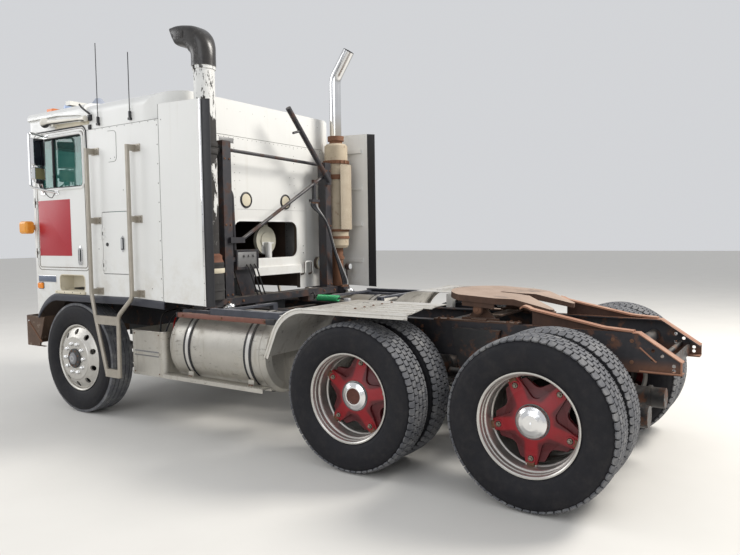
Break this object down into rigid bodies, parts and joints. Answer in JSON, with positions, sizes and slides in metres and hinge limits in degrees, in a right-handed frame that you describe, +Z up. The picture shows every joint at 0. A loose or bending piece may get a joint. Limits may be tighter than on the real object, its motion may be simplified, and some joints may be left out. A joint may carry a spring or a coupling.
{
  "type": "cab-over truck tractor unit",
  "caption": "Cab-over sleeper truck tractor with tilting cab, opening doors, steered front axle, dual drive wheels, tall stacks and a fifth wheel.",
  "frame": {"origin": "on the ground under the middle of the truck's box", "axes": "+X to the truck's left, +Y to its rear, +Z up; the truck's front faces -Y"},
  "size_m": [2.844, 6.19, 3.6865],
  "materials": {
    "white_paint": "aged satin",
    "black_frame": "rust-spotted satin black",
    "rusty_steel": "rusty",
    "bare_aluminium": "dull",
    "engine_grey": "oily",
    "tyre_rubber": "dusty",
    "steer_disc": "dull",
    "cast_red": "red over cast steel",
    "chrome": "bright",
    "glass": "teal tint",
    "flaking_stack": "white over black, flaking",
    "beige_muffler": "baked beige",
    "dark_trim": "matt",
    "seat_vinyl": "matt",
    "lamp_bezel": "gloss"
  },
  "bodies": {
    "chassis": {"frame_rails": "black_frame", "crossmembers": "black_frame", "frame_ramps": "rusty_steel", "bumper": "rusty_steel", "powertrain": "engine_grey", "radiator": "black_frame", "driveshafts": "black_frame", "steer_axle": "black_frame", "front_springs": "black_frame", "drive_axles": "black_frame", "rear_suspension": "black_frame", "fuel_tanks": "bare_aluminium", "tank_steps": "bare_aluminium", "battery_boxes": "bare_aluminium", "deck_rails": "black_frame", "fenders": "bare_aluminium", "stack_frame": "black_frame", "intake_stack": "flaking_stack", "exhaust_stack": "beige_muffler", "air_hoses": "dark_trim", "fifth_wheel_base": "rusty_steel"},
    "cab": {"cab_front": "white_paint", "cab_sides": "white_paint", "cab_back": "white_paint", "cab_roof": "white_paint", "cab_floor": "dark_trim", "windshield": "glass", "grille": "chrome", "front_lamps": "lamp_bezel", "side_extenders": "white_paint", "ladders": "bare_aluminium", "seats": "seat_vinyl", "dashboard": "dark_trim", "steering_wheel": "dark_trim", "roof_fittings": "chrome", "roof_visors": "white_paint"},
    "fifth_wheel": {"fifth_wheel_plate": "rusty_steel"},
    "tie_rod": {"tie_rod": "black_frame"},
    "door_left": {"door_left": "white_paint", "door_glass_left": "glass", "mirror_left": "chrome"},
    "luggage_door_left": {"luggage_door_left": "white_paint"},
    "knuckle_left": {"knuckle_left": "black_frame"},
    "steer_wheel_left": {"steer_wheel_left": "steer_disc", "steer_tyre_left": "tyre_rubber"},
    "front_drive_left": {"front_drive_wheel_left": "cast_red", "front_drive_tyres_left": "tyre_rubber"},
    "rear_drive_left": {"rear_drive_wheel_left": "cast_red", "rear_drive_tyres_left": "tyre_rubber"},
    "door_right": {"door_right": "white_paint", "door_glass_right": "glass", "mirror_right": "chrome"},
    "luggage_door_right": {"luggage_door_right": "white_paint"},
    "knuckle_right": {"knuckle_right": "black_frame"},
    "steer_wheel_right": {"steer_wheel_right": "steer_disc", "steer_tyre_right": "tyre_rubber"},
    "front_drive_right": {"front_drive_wheel_right": "cast_red", "front_drive_tyres_right": "tyre_rubber"},
    "rear_drive_right": {"rear_drive_wheel_right": "cast_red", "rear_drive_tyres_right": "tyre_rubber"}
  },
  "joints": [
    {"name": "cab_tilt", "type": "hinge", "parent": "chassis", "child": "cab", "pos_m": [0, -2.99, 0.8], "axis": [1, 0, 0], "range_deg": [0, 55]},
    {"name": "fifth_wheel_tilt", "type": "hinge", "parent": "chassis", "child": "fifth_wheel", "pos_m": [0, 1.698, 1.13], "axis": [1, 0, 0], "range_deg": [0, 12]},
    {"name": "door_left_hinge", "type": "hinge", "parent": "cab", "child": "door_left", "pos_m": [1.212, -2.762, 2.06], "axis": [0, 0, -1], "range_deg": [0, 70]},
    {"name": "luggage_door_left_hinge", "type": "hinge", "parent": "cab", "child": "luggage_door_left", "pos_m": [1.212, -1.692, 1.65], "axis": [0, 0, -1], "range_deg": [0, 90]},
    {"name": "steer_left", "type": "hinge", "parent": "chassis", "child": "knuckle_left", "pos_m": [0.94, -2.19, 0.54], "axis": [0, 0, 1], "range_deg": [-35, 35]},
    {"name": "steer_wheel_left_spin", "type": "hinge", "parent": "knuckle_left", "child": "steer_wheel_left", "pos_m": [1.056, -2.19, 0.54], "axis": [1, 0, 0], "continuous": true},
    {"name": "front_drive_left_spin", "type": "hinge", "parent": "chassis", "child": "front_drive_left", "pos_m": [0.916, 1.038, 0.54], "axis": [1, 0, 0], "continuous": true},
    {"name": "rear_drive_left_spin", "type": "hinge", "parent": "chassis", "child": "rear_drive_left", "pos_m": [0.916, 2.359, 0.54], "axis": [1, 0, 0], "continuous": true},
    {"name": "door_right_hinge", "type": "hinge", "parent": "cab", "child": "door_right", "pos_m": [-1.212, -2.762, 2.06], "axis": [0, 0, 1], "range_deg": [0, 70]},
    {"name": "luggage_door_right_hinge", "type": "hinge", "parent": "cab", "child": "luggage_door_right", "pos_m": [-1.212, -1.692, 1.65], "axis": [0, 0, 1], "range_deg": [0, 90]},
    {"name": "steer_right", "type": "hinge", "parent": "chassis", "child": "knuckle_right", "pos_m": [-0.94, -2.19, 0.54], "axis": [0, 0, 1], "range_deg": [-35, 35]},
    {"name": "steer_wheel_right_spin", "type": "hinge", "parent": "knuckle_right", "child": "steer_wheel_right", "pos_m": [-1.056, -2.19, 0.54], "axis": [1, 0, 0], "continuous": true},
    {"name": "front_drive_right_spin", "type": "hinge", "parent": "chassis", "child": "front_drive_right", "pos_m": [-0.916, 1.038, 0.54], "axis": [1, 0, 0], "continuous": true},
    {"name": "rear_drive_right_spin", "type": "hinge", "parent": "chassis", "child": "rear_drive_right", "pos_m": [-0.916, 2.359, 0.54], "axis": [1, 0, 0], "continuous": true},
    {"name": "tie_rod_swing", "type": "hinge", "parent": "knuckle_left", "child": "tie_rod", "pos_m": [0.94, -1.96, 0.41], "axis": [0, 0, 1], "range_deg": [-35, 35]}
  ],
  "couplings": [
    {"joint": "steer_right", "follows": "steer_left", "ratio": 1},
    {"joint": "tie_rod_swing", "follows": "steer_left", "ratio": -1}
  ]
}
